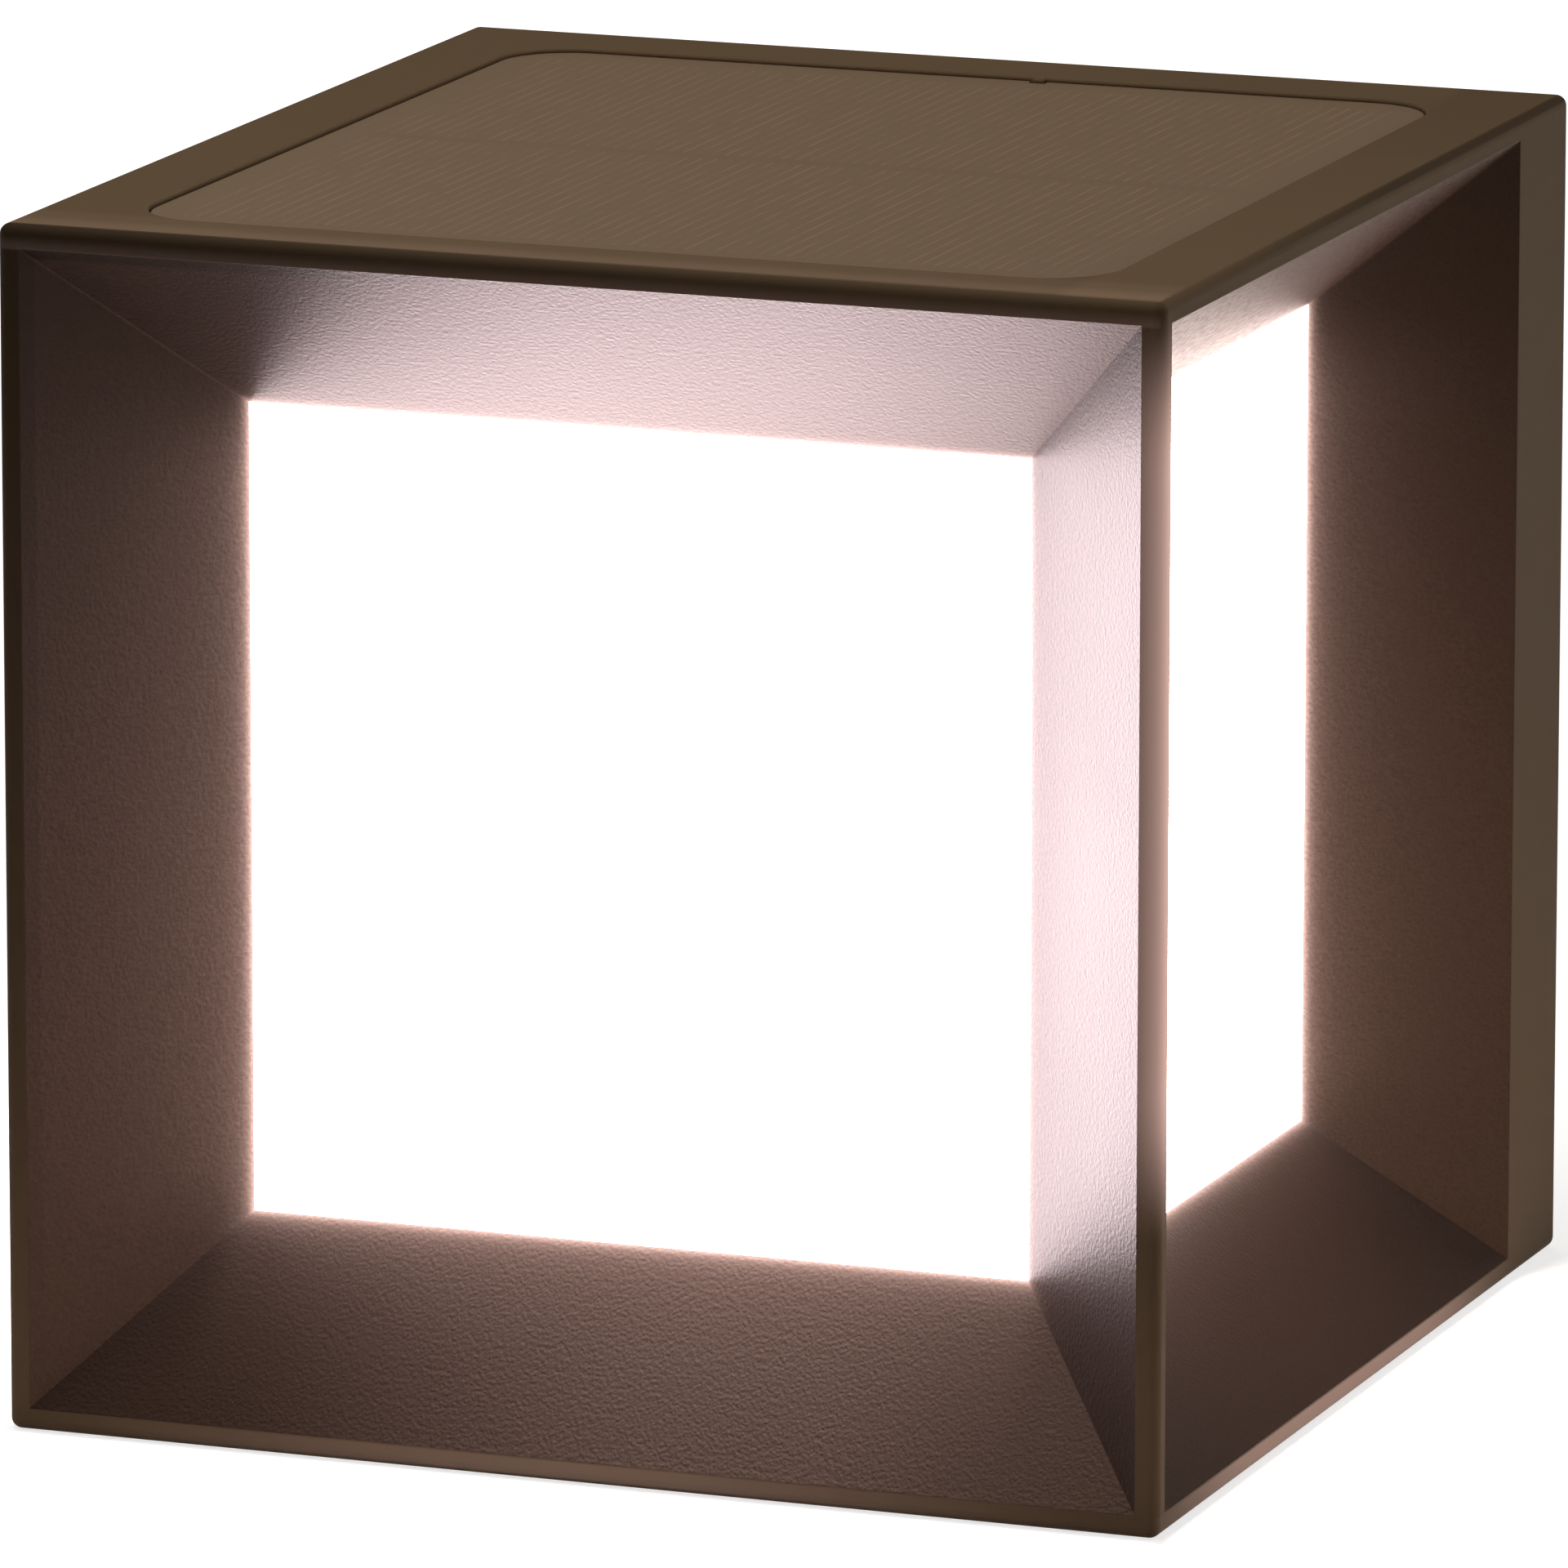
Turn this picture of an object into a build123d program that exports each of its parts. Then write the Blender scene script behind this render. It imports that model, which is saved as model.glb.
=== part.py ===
from build123d import *
from math import hypot
import os

# Cube-shaped solar lamp: a one-piece moulded housing with three bevelled windows round an opal light box,
# a solar panel let into its top and a closed electronics compartment at its back.
# Millimetres, +Z up, front towards -Y, origin at the middle of the base.

# Housing
width = 150.0
depth = 157.0
height = 151.0
edge_radius = 1.4
wall = 2.6
ledge = 2.0                  # step inside the rear opening that the gasket lies on
rib_thickness = 1.6
rib_height = 4.0
rib_spacing = 34.0
pillar_size = 11.0           # corner rails that take the cover screws
overcut = 1.0                # how far cutting solids run past a face

# Window reveals
reveal_depth = 21.4
rim = 2.8                    # flat frame left round each reveal
rim_edge_radius = 0.25
rear_band = 20.0             # plain band behind the side reveals
front_side_margin = 24.2
front_top_margin = 24.2
front_bottom_margin = 25.0
side_front_margin = 24.2
side_rear_margin = 40.0
side_top_margin = 21.8
side_bottom_margin = 23.8

# Solar panel
panel_side_margin = 12.7
panel_front_margin = 10.9
panel_rear_margin = 12.9
panel_radius = 9.2
panel_gap = 0.3
panel_setback = 0.5          # panel surface below the frame
sheet_thickness = 0.5
cell_thickness = 0.3
substrate_thickness = 1.6
tape_thickness = 0.6
tape_width = 6.0
seat_thickness = 2.5
pocket_edge_radius = 0.4
cell_rows = 2
cell_columns = 6
cell_border = 5.0
cell_gap = 0.6
cell_row_gap = 3.0
nib_width = 1.6              # locating nib at the rear of the panel pocket
nib_reach = 1.2
nib_offset = 8.0
grommet_radius = 3.2
grommet_flange = 1.6
grommet_flange_thickness = 1.0
grommet_forward = 38.5       # grommet axis in front of the back face
grommet_fit = 0.05

# Light box
box_clearance = 0.1
diffuser_wall = 2.0
diffuser_overlap = 2.6       # how far the box reaches behind the window edges
diffuser_edge_radius = 0.8

# Reflector tray
tray_thickness = 2.5
tray_margin = 2.0            # edge of the plate outside the box
ear_radius = 3.6
ear_offset = 3.5             # ear centres outside the box
ear_pitch = 63.0
ear_clearance = 0.6
boss_radius = 3.2
lip_height = 4.0
lip_thickness = 1.5
lip_clearance = 0.2
post_radius = 2.6
lead_hole_radius = 3.0

# Small screws in the tray, the boards and the clamp
screw_radius = 1.05
pilot_gap = 0.05
hole_gap = 0.35
screw_head_radius = 2.3
screw_head_height = 1.8
screw_head_chamfer = 0.5
screw_bite = 4.0

# Lamp board
lamp_board_width = 84.0
lamp_board_height = 84.0
board_thickness = 1.6
board_radius = 2.0
lamp_post_height = 3.0
lamp_post_inset = 6.0
led_columns = 4
led_rows = 3
led_pitch_across = 22.0
led_pitch_up = 26.0
led_width = 3.5
led_height = 2.8
led_thickness = 0.8

# Control board
control_board_width = 60.0
control_board_height = 40.0
control_board_rise = 15.5    # above the middle of the light box
control_post_height = 4.0
control_post_inset = 4.0
chip_width = 5.0
chip_height = 4.0
chip_thickness = 1.6
chip_offset = 12.0
coil_radius = 3.6
coil_thickness = 4.0
capacitor_radius = 3.15
capacitor_length = 7.0
capacitor_chamfer = 0.5
capacitor_gap = 1.0
socket_width = 8.0
socket_height = 6.0
socket_thickness = 5.0
socket_inset = 0.5
plug_width = 6.6
plug_length = 5.0
plug_thickness = 4.0
battery_socket_x = -15.0
lamp_socket_x = 15.0
solar_socket_x = 18.0

# Battery
cell_radius = 9.2
cell_length = 65.0
cell_end_chamfer = 0.8
cell_drop = 36.5             # below the middle of the light box
cell_lift = 1.0
button_terminal_radius = 3.0
button_terminal_height = 1.2
tab_width = 7.0
tab_length = 16.0
tab_thickness = 0.4
saddle_thickness = 2.5
saddle_width = 16.0
saddle_offset = 22.0
saddle_gap = 0.1
saddle_below_axis = 3.0
clamp_width = 12.0
clamp_thickness = 1.2
clamp_gap = 0.2
clamp_foot = 7.0

# Leads
lead_radius = 0.7
lead_pitch = 2.5
lead_bend = 4.0
lead_tight_bend = 2.2
battery_lead_run = 5.0       # sideways run out of each battery tab
battery_lead_rise = 11.5
battery_lead_step = 3.5      # the two leads cross the tray this far apart
lamp_lead_drop = 7.5         # below its plug
solar_lead_drop = 6.0        # below the seat of the panel

# Back cover
cover_thickness = 3.0
cover_gap = 0.25
cover_radius = 2.0
cover_edge_chamfer = 0.4
gasket_thickness = 0.8
gasket_gap = 0.1
cover_rib_thickness = 1.6
cover_rib_height = 3.0
cover_rib_gap = 0.5
cover_rib_inset = 22.0       # ribs stop this far short of the chamber's corners
cover_screw_radius = 1.45
cover_screw_length = 13.0
cover_head_radius = 2.9
cover_head_sink = 0.2
driver_slot_width = 0.9
driver_slot_depth = 1.0
keyhole_spacing = 80.0
keyhole_level = 103.0
keyhole_entry_radius = 4.5
keyhole_slot_width = 5.0
keyhole_rise = 9.0
keyhole_pocket_depth = 5.0
keyhole_pocket_margin = 1.0
keyhole_pocket_wall = 1.6

# Power button and switch
button_rise = 6.0            # above the middle of the control board
button_radius = 5.5
button_gap = 0.3
button_setback = 0.3
button_edge_radius = 1.0
button_travel = 1.5
button_stop_gap = 0.2
button_flange = 1.5
button_flange_thickness = 1.2
button_dish_radius = 10.0
button_dish_depth = 1.4
guide_length = 4.0
guide_wall = 2.4
seal_width = 1.2
seal_thickness = 1.5
seal_gap = 0.25
switch_size = 8.5
switch_height = 8.5
plunger_radius = 1.7
plunger_gap = 0.3
plunger_depth = 2.0

# Places that follow from the sizes
front = -depth / 2
back = depth / 2
window_x = width / 2 - reveal_depth
window_y = front + reveal_depth
panel_width = width - 2 * panel_side_margin
panel_depth = depth - panel_front_margin - panel_rear_margin
panel_middle = front + panel_front_margin + panel_depth / 2
panel_stack = tape_thickness + substrate_thickness + cell_thickness + sheet_thickness
seat_top = height - panel_setback - panel_stack
substrate_bottom = seat_top + tape_thickness
cell_bottom = substrate_bottom + substrate_thickness
grommet_y = back - grommet_forward
chamber_half = width / 2 - wall - ledge
chamber_bottom = wall + ledge
chamber_top = seat_top - seat_thickness
cover_front = back - cover_thickness
ledge_y = cover_front - gasket_thickness
pillar_x = chamber_half - pillar_size / 2
pillar_levels = (chamber_bottom + pillar_size / 2, chamber_top - pillar_size / 2)

box_half = window_x - box_clearance
box_bottom = min(front_bottom_margin, side_bottom_margin) - diffuser_overlap
box_top = height - min(front_top_margin, side_top_margin) + diffuser_overlap
box_middle = (box_bottom + box_top) / 2
ear_x = box_half + ear_offset
ear_levels = (box_middle - ear_pitch / 2, box_middle + ear_pitch / 2)
rear_run = side_rear_margin - rear_band
rear_land_y = back - side_rear_margin + wall * hypot(rear_run, reveal_depth) / reveal_depth
tray_front = rear_land_y + (ear_x + ear_radius - window_x) * rear_run / reveal_depth + ear_clearance
tray_back = tray_front + tray_thickness

pilot_radius = screw_radius + pilot_gap
hole_radius = screw_radius + hole_gap
lamp_board_back = tray_front - lamp_post_height
lamp_board_front = lamp_board_back - board_thickness
lamp_post_x = lamp_board_width / 2 - lamp_post_inset
lamp_post_rise = lamp_board_height / 2 - lamp_post_inset
post_end = tray_back + control_post_height
board_back = post_end + board_thickness
control_board_level = box_middle + control_board_rise
board_bottom = control_board_level - control_board_height / 2
board_top = control_board_level + control_board_height / 2
control_post_x = control_board_width / 2 - control_post_inset
control_post_rise = control_board_height / 2 - control_post_inset
low_socket_bottom = board_bottom + socket_inset
high_socket_top = board_top - socket_inset
lead_y = board_back + socket_thickness / 2
lamp_lead_level = low_socket_bottom - plug_length - lamp_lead_drop
solar_lead_level = chamber_top - solar_lead_drop

cell_y = tray_back + cell_lift + cell_radius
cell_level = box_middle - cell_drop
clamp_inner = cell_radius + clamp_gap
clamp_outer = clamp_inner + clamp_thickness
clamp_post_rise = clamp_outer + clamp_foot / 2
plus_tab_x = cell_length / 2 + button_terminal_height
minus_tab_x = cell_length / 2
tab_top = cell_level + tab_length / 2

button_level = control_board_level + button_rise
guide_front = cover_front - guide_length
button_hole_radius = button_radius + button_gap
button_flange_back = guide_front - button_stop_gap
button_flange_front = button_flange_back - button_flange_thickness
switch_back = board_back + switch_height


def block(x0, x1, y0, y1, z0, z1):
    """Square-edged solid between two corners."""
    return Pos((x0 + x1) / 2, (y0 + y1) / 2, (z0 + z1) / 2) * Box(x1 - x0, y1 - y0, z1 - z0)


def slab(outline, front_y, back_y):
    """Solid of an upright outline, X across and Z up, between two depths."""
    plane = Plane(origin=(0, back_y, 0), x_dir=(1, 0, 0), z_dir=(0, -1, 0))
    return extrude(plane * outline, amount=back_y - front_y)


def rod(x, level, radius, front_y, back_y):
    """Round bar along Y."""
    return slab(Pos(x, level) * Circle(radius), front_y, back_y)


def pair(x, levels):
    """Four places, left and right of the middle at two levels."""
    return [(side * x, level) for side in (-1, 1) for level in levels]


def mirrored(solid):
    """A right-hand solid with its left-hand twin."""
    return solid + mirror(solid, about=Plane.YZ)


def trapezoid(low, high, low_rim, high_rim, low_margin, high_margin, grow):
    """Section of a reveal, place along the face against depth, with its walls moved out by grow."""
    low_shift = grow * hypot(low_margin - low_rim, reveal_depth) / reveal_depth
    high_shift = grow * hypot(high_margin - high_rim, reveal_depth) / reveal_depth
    return [
        (low + low_rim - low_shift, -overcut),
        (low + low_rim - low_shift, 0),
        (low + low_margin - low_shift, reveal_depth),
        (high - high_margin + high_shift, reveal_depth),
        (high - high_rim + high_shift, 0),
        (high - high_rim + high_shift, -overcut),
    ]


def prism(plane, points, reach):
    """Long solid of a polygon, reaching both ways from its plane."""
    return extrude(plane * Polygon(*points, align=None), amount=reach, both=True)


def front_reveal(grow=0.0):
    """Mitred frustum of the front window: a plan section crossed with an upright one."""
    plan = trapezoid(-width / 2, width / 2, rim, rim, front_side_margin, front_side_margin, grow)
    rise = trapezoid(0, height, rim, rim, front_bottom_margin, front_top_margin, grow)
    across = prism(Plane.XY, [(along, front + deep) for along, deep in plan], height)
    upright = prism(Plane.YZ, [(front + deep, along) for along, deep in rise], width)
    return across & upright


def side_reveal(grow=0.0):
    """Mitred frustum of the right window, which stops short at the rear band."""
    plan = trapezoid(front, back, rim, rear_band, side_front_margin, side_rear_margin, grow)
    rise = trapezoid(0, height, rim, rim, side_bottom_margin, side_top_margin, grow)
    across = prism(Plane.XY, [(width / 2 - deep, along) for along, deep in plan], height)
    upright = prism(Plane.XZ, [(width / 2 - deep, along) for along, deep in rise], depth)
    return across & upright


def window_openings():
    """Straight cuts through the ends of the reveals."""
    front_half = width / 2 - front_side_margin
    front_cut = block(
        -front_half, front_half, window_y - overcut, window_y + overcut,
        front_bottom_margin, height - front_top_margin,
    )
    side_cut = block(
        window_x - overcut, window_x + overcut, front + side_front_margin, back - side_rear_margin,
        side_bottom_margin, height - side_top_margin,
    )
    return front_cut + mirrored(side_cut)


def panel_outline(grow=0.0):
    """Rounded outline of the solar panel, with the notch for its locating nib."""
    sheet = Pos(0, panel_middle) * RectangleRounded(
        panel_width + 2 * grow, panel_depth + 2 * grow, panel_radius + grow
    )
    nib_front = panel_middle + panel_depth / 2 - nib_reach + grow
    nib_room = panel_gap - grow
    nib = Pos(nib_offset, nib_front + nib_reach) * Rectangle(nib_width + 2 * nib_room, 2 * nib_reach)
    return sheet - nib


def make_housing():
    """Shell whose walls follow the reveals, hollowed from the open back."""
    hollow = block(
        -chamber_half, chamber_half, front + wall, ledge_y + overcut / 2, chamber_bottom, chamber_top
    )
    hollow -= front_reveal(wall)
    hollow -= mirrored(side_reveal(wall))
    for step in (-1, 0, 1):
        x = step * rib_spacing
        for low in (chamber_bottom, chamber_top - rib_height):
            hollow -= block(
                x - rib_thickness / 2, x + rib_thickness / 2, front, rear_land_y, low, low + rib_height
            )
    for x, level in pair(ear_x, ear_levels):
        hollow -= rod(x, level, boss_radius, back - side_rear_margin, tray_front)
    pocket_width = width - 2 * wall
    pocket_height = height - 2 * wall
    pocket = Pos(0, height / 2) * RectangleRounded(pocket_width, pocket_height, cover_radius + cover_gap)
    hollow += slab(pocket, ledge_y, back + overcut)
    for x, level in pair(pillar_x, pillar_levels):
        rail = Pos(x, level) * Rectangle(pillar_size, pillar_size)
        hollow -= slab(rail, front, cover_front)

    outer = block(-width / 2, width / 2, front, back, 0, height)
    body = fillet(outer.edges(), edge_radius) - hollow
    body -= extrude(Pos(0, 0, seat_top) * panel_outline(panel_gap), amount=height - seat_top + overcut)
    body -= Pos(solar_socket_x, grommet_y, seat_top) * Cylinder(grommet_radius, 4 * seat_thickness)
    body -= front_reveal() + mirrored(side_reveal())
    body -= window_openings()
    for x, level in pair(ear_x, ear_levels):
        body -= rod(x, level, pilot_radius, tray_front - screw_bite, tray_front + overcut)
    for x, level in pair(pillar_x, pillar_levels):
        pilot = cover_screw_radius + pilot_gap
        body -= rod(x, level, pilot, back - cover_screw_length - overcut, cover_front + overcut)

    by_side = body.faces().sort_by(Axis.X)
    rims = [body.faces().sort_by(Axis.Y)[0], by_side[0], by_side[-1]]
    body = fillet([edge for face in rims for edge in face.inner_wires()[0].edges()], rim_edge_radius)
    frame = body.faces().sort_by(Axis.Z)[-1]
    return fillet(frame.inner_wires()[0].edges(), pocket_edge_radius)


def make_diffuser():
    """Opal box, open at the back, held between the window lands and the tray."""
    shell = block(-box_half, box_half, window_y, tray_front, box_bottom, box_top)
    shell = fillet(shell.edges().group_by(Axis.Y)[0], diffuser_edge_radius)
    return shell - block(
        diffuser_wall - box_half, box_half - diffuser_wall, window_y + diffuser_wall, tray_front + overcut,
        box_bottom + diffuser_wall, box_top - diffuser_wall,
    )


def ear_outline():
    """Round screw ears of the tray, with the necks that join them to its plate."""
    ears = Sketch()
    for x, level in pair(ear_x, ear_levels):
        ears += Pos(x, level) * Circle(ear_radius)
        ears += Pos(x * box_half / ear_x, level) * Rectangle(2 * ear_offset, 2 * ear_radius)
    return ears


def post(x, level, start, end):
    """Round post on the tray, without its pilot hole."""
    return rod(x, level, post_radius, min(start, end), max(start, end))


def make_tray():
    """White plate that closes the light box: lamp board posts in front, electronics behind."""
    plate = Pos(0, box_middle) * Rectangle(
        2 * (box_half + tray_margin), box_top - box_bottom + 2 * tray_margin
    )
    tray = slab(plate + ear_outline(), tray_front, tray_back)
    mouth_width = 2 * (box_half - diffuser_wall - lip_clearance)
    mouth_height = box_top - box_bottom - 2 * (diffuser_wall + lip_clearance)
    lip = Rectangle(mouth_width, mouth_height)
    lip -= Rectangle(mouth_width - 2 * lip_thickness, mouth_height - 2 * lip_thickness)
    tray += slab(Pos(0, box_middle) * lip, tray_front - lip_height, tray_front)

    lamp_posts = pair(lamp_post_x, (box_middle - lamp_post_rise, box_middle + lamp_post_rise))
    for x, level in lamp_posts:
        tray += post(x, level, lamp_board_back, tray_front)
    rear_posts = control_places() + clamp_places()
    for x, level in rear_posts:
        tray += post(x, level, tray_back, post_end)
    for side in (-1, 1):
        saddle = Pos(side * saddle_offset, cell_level) * Rectangle(saddle_thickness, saddle_width)
        tray += slab(saddle, tray_back, cell_y - saddle_below_axis)
    tray -= Pos(0, cell_y, cell_level) * Rot(0, 90, 0) * Cylinder(cell_radius + saddle_gap, cell_length)

    for x, level in lamp_posts:
        tray -= rod(x, level, pilot_radius, lamp_board_back - overcut, lamp_board_back + screw_bite)
    for x, level in rear_posts:
        tray -= rod(x, level, pilot_radius, post_end - screw_bite, post_end + overcut)
    tray -= rod(lamp_socket_x, lamp_lead_level, lead_hole_radius, tray_front - overcut, tray_back + overcut)
    for x, level in pair(ear_x, ear_levels):
        tray -= rod(x, level, hole_radius, tray_front - overcut, tray_back + overcut)
    return tray


def control_places():
    """Screw places of the control board."""
    levels = (control_board_level - control_post_rise, control_board_level + control_post_rise)
    return pair(control_post_x, levels)


def clamp_places():
    """Screw places of the battery clamp."""
    return [(0, cell_level - clamp_post_rise), (0, cell_level + clamp_post_rise)]


def small_screw(grip):
    """Pan-head screw pointing down from its bearing face, through grip and into a pilot hole."""
    bite = screw_bite - overcut / 2
    head = Cylinder(screw_head_radius, screw_head_height, align=(Align.CENTER, Align.CENTER, Align.MIN))
    head = chamfer(head.edges().group_by(Axis.Z)[-1], screw_head_chamfer)
    shank = Cylinder(screw_radius, grip + bite, align=(Align.CENTER, Align.CENTER, Align.MAX))
    return head + shank


def screws_from_back(places, y, grip):
    """Set of small screws whose heads bear on the face at y and face the back."""
    return Compound([Pos(x, y, level) * Rot(-90, 0, 0) * small_screw(grip) for x, level in places])


def make_tray_screws():
    return screws_from_back(pair(ear_x, ear_levels), tray_back, tray_thickness)


def make_board_screws():
    return screws_from_back(control_places(), board_back, board_thickness)


def make_clamp_screws():
    return screws_from_back(clamp_places(), post_end + clamp_thickness, clamp_thickness)


def make_lamp_screws():
    """Screws that hold the lamp board, heads towards the window."""
    levels = (box_middle - lamp_post_rise, box_middle + lamp_post_rise)
    return Compound([
        Pos(x, lamp_board_front, level) * Rot(90, 0, 0) * small_screw(board_thickness)
        for x, level in pair(lamp_post_x, levels)
    ])


def make_lamp_board():
    """Board behind the light box with its screw holes."""
    outline = Pos(0, box_middle) * RectangleRounded(lamp_board_width, lamp_board_height, board_radius)
    for x, level in pair(lamp_post_x, (box_middle - lamp_post_rise, box_middle + lamp_post_rise)):
        outline -= Pos(x, level) * Circle(hole_radius)
    return slab(outline, lamp_board_front, lamp_board_back)


def make_leds():
    """Grid of surface-mounted LEDs facing the front."""
    leds = []
    for column in range(led_columns):
        for row in range(led_rows):
            x = (column - (led_columns - 1) / 2) * led_pitch_across
            level = box_middle + (row - (led_rows - 1) / 2) * led_pitch_up
            face = Pos(x, level) * Rectangle(led_width, led_height)
            leds.append(slab(face, lamp_board_front - led_thickness, lamp_board_front))
    return Compound(leds)


def make_solar_cells():
    """Two rows of silicon strips on the substrate."""
    strip_width = (panel_width - 2 * cell_border - (cell_columns - 1) * cell_gap) / cell_columns
    strip_depth = (panel_depth - 2 * cell_border - (cell_rows - 1) * cell_row_gap) / cell_rows
    strips = []
    for column in range(cell_columns):
        for row in range(cell_rows):
            x = (column - (cell_columns - 1) / 2) * (strip_width + cell_gap)
            y = panel_middle + (row - (cell_rows - 1) / 2) * (strip_depth + cell_row_gap)
            strip = Pos(x, y, cell_bottom) * Rectangle(strip_width, strip_depth)
            strips.append(extrude(strip, amount=cell_thickness))
    return Compound(strips)


def make_solar_cover(cells):
    """Frosted top sheet whose encapsulant fills the space round the cells."""
    sheet = extrude(Pos(0, 0, cell_bottom) * panel_outline(), amount=cell_thickness + sheet_thickness)
    return sheet - cells.solids()


def make_solar_substrate():
    return extrude(Pos(0, 0, substrate_bottom) * panel_outline(), amount=substrate_thickness)


def make_solar_adhesive():
    """Foam tape ring between the substrate and the seat of the pocket."""
    inner = Pos(0, panel_middle) * Rectangle(panel_width - 2 * tape_width, panel_depth - 2 * tape_width)
    return extrude(Pos(0, 0, seat_top) * (panel_outline() - inner), amount=tape_thickness)


def lead_places(x):
    """X of the red and the black lead of a pair."""
    return x + lead_pitch / 2, x - lead_pitch / 2


def make_grommet():
    """Flanged silicone bush in the seat, with a hole for each panel lead."""
    bush = Pos(solar_socket_x, grommet_y, chamber_top) * Cylinder(
        grommet_radius - grommet_fit, seat_thickness, align=(Align.CENTER, Align.CENTER, Align.MIN)
    )
    bush += Pos(solar_socket_x, grommet_y, chamber_top) * Cylinder(
        grommet_radius + grommet_flange, grommet_flange_thickness,
        align=(Align.CENTER, Align.CENTER, Align.MAX),
    )
    for x in lead_places(solar_socket_x):
        bush -= Pos(x, grommet_y, chamber_top) * Cylinder(lead_radius + grommet_fit, 4 * seat_thickness)
    return bush


def lead(points, bends):
    """Insulated lead along straight runs joined by tangent arcs."""
    path = FilletPolyline(*points, radius=bends)
    return sweep(Plane(origin=path @ 0, z_dir=path % 0) * Circle(lead_radius), path=path)


def make_solar_lead(x):
    """From the substrate down through the grommet, back over the light box and down to its plug."""
    points = [
        (x, grommet_y, substrate_bottom),
        (x, grommet_y, solar_lead_level),
        (x, lead_y, solar_lead_level),
        (x, lead_y, high_socket_top + plug_length),
    ]
    return lead(points, [lead_bend, lead_bend])


def make_lamp_lead(x):
    """From the lamp board through the tray and up to its plug."""
    points = [
        (x, lamp_board_back, lamp_lead_level),
        (x, lead_y, lamp_lead_level),
        (x, lead_y, low_socket_bottom - plug_length),
    ]
    return lead(points, [lead_tight_bend])


def make_battery_lead(side, tab_x, x, level):
    """From a battery tab out sideways, up past the cell, across the tray and up to its plug."""
    start = side * (tab_x + tab_thickness)
    turn = start + side * battery_lead_run
    tab_level = tab_top - lead_pitch
    points = [
        (start, cell_y, tab_level),
        (turn, cell_y, tab_level),
        (turn, lead_y, level),
        (x, lead_y, level),
        (x, lead_y, low_socket_bottom - plug_length),
    ]
    return lead(points, [lead_tight_bend, lead_bend, lead_tight_bend])


def make_control_board():
    """Charge and lamp control board with its screw holes."""
    outline = Pos(0, control_board_level) * RectangleRounded(
        control_board_width, control_board_height, board_radius
    )
    for x, level in control_places():
        outline -= Pos(x, level) * Circle(hole_radius)
    return slab(outline, post_end, board_back)


def make_chips():
    """The two control chips, left and right of the board's lower middle."""
    level = control_board_level - chip_height / 2
    return Compound([
        slab(Pos(side * chip_offset, level) * Rectangle(chip_width, chip_height),
             board_back, board_back + chip_thickness)
        for side in (-1, 1)
    ])


def make_coil():
    """Power inductor beside the switch."""
    x = switch_size / 2 + 2 * coil_radius
    level = control_board_level + chip_height + coil_radius
    return rod(x, level, coil_radius, board_back, board_back + coil_thickness)


def make_capacitors():
    """Two upright capacitors on the other side of the switch."""
    cans = []
    for step in (1, 2):
        x = -switch_size / 2 - step * (2 * capacitor_radius + capacitor_gap)
        level = control_board_level + chip_height + capacitor_radius
        can = rod(x, level, capacitor_radius, board_back, board_back + capacitor_length)
        cans.append(chamfer(can.edges().group_by(Axis.Y)[-1], capacitor_chamfer))
    return Compound(cans)


def connector_places():
    """Middle of each socket's outer face, with the way its plug leaves."""
    return (
        (battery_socket_x, low_socket_bottom, -1),
        (lamp_socket_x, low_socket_bottom, -1),
        (solar_socket_x, high_socket_top, 1),
    )


def make_sockets():
    """Board sockets of the three lead pairs."""
    return Compound([
        slab(Pos(x, level - way * socket_height / 2) * Rectangle(socket_width, socket_height),
             board_back, board_back + socket_thickness)
        for x, level, way in connector_places()
    ])


def make_plugs():
    """Lead plugs against the open ends of the sockets."""
    return Compound([
        slab(Pos(x, level + way * plug_length / 2) * Rectangle(plug_width, plug_length),
             lead_y - plug_thickness / 2, lead_y + plug_thickness / 2)
        for x, level, way in connector_places()
    ])


def make_battery_cell():
    """Wrapped cylindrical cell lying across the tray."""
    can = Pos(0, cell_y, cell_level) * Rot(0, 90, 0) * Cylinder(cell_radius, cell_length)
    return chamfer(can.edges().filter_by(GeomType.CIRCLE), cell_end_chamfer)


def make_battery_terminals():
    """Raised plus terminal and the welded tab at each end of the cell."""
    plus = Pos(cell_length / 2 + button_terminal_height / 2, cell_y, cell_level) * Rot(0, 90, 0) * Cylinder(
        button_terminal_radius, button_terminal_height
    )
    tab = Box(tab_thickness, tab_width, tab_length)
    plus += Pos(plus_tab_x + tab_thickness / 2, cell_y, cell_level) * tab
    minus = Pos(-minus_tab_x - tab_thickness / 2, cell_y, cell_level) * tab
    return Compound([plus, minus])


def make_clamp():
    """Strap arched over the cell, with a screwed foot on each side."""
    reach = cell_y - post_end
    ring = Circle(clamp_outer) - Circle(clamp_inner)
    arch = ring & (Pos(clamp_outer, 0) * Rectangle(2 * clamp_outer, 2 * clamp_outer))
    for side in (-1, 1):
        leg_middle = side * (clamp_inner + clamp_outer) / 2
        arch += Pos(-reach / 2, leg_middle) * Rectangle(reach, clamp_thickness)
        foot_middle = side * (clamp_inner + clamp_outer + clamp_foot) / 2
        arch += Pos(clamp_thickness / 2 - reach, foot_middle) * Rectangle(
            clamp_thickness, clamp_foot + clamp_thickness
        )
    strap = extrude(Plane.YZ * Pos(cell_y, cell_level) * arch, amount=clamp_width / 2, both=True)
    for x, level in clamp_places():
        strap -= rod(x, level, hole_radius, post_end - overcut, post_end + clamp_thickness + overcut)
    return strap


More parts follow.
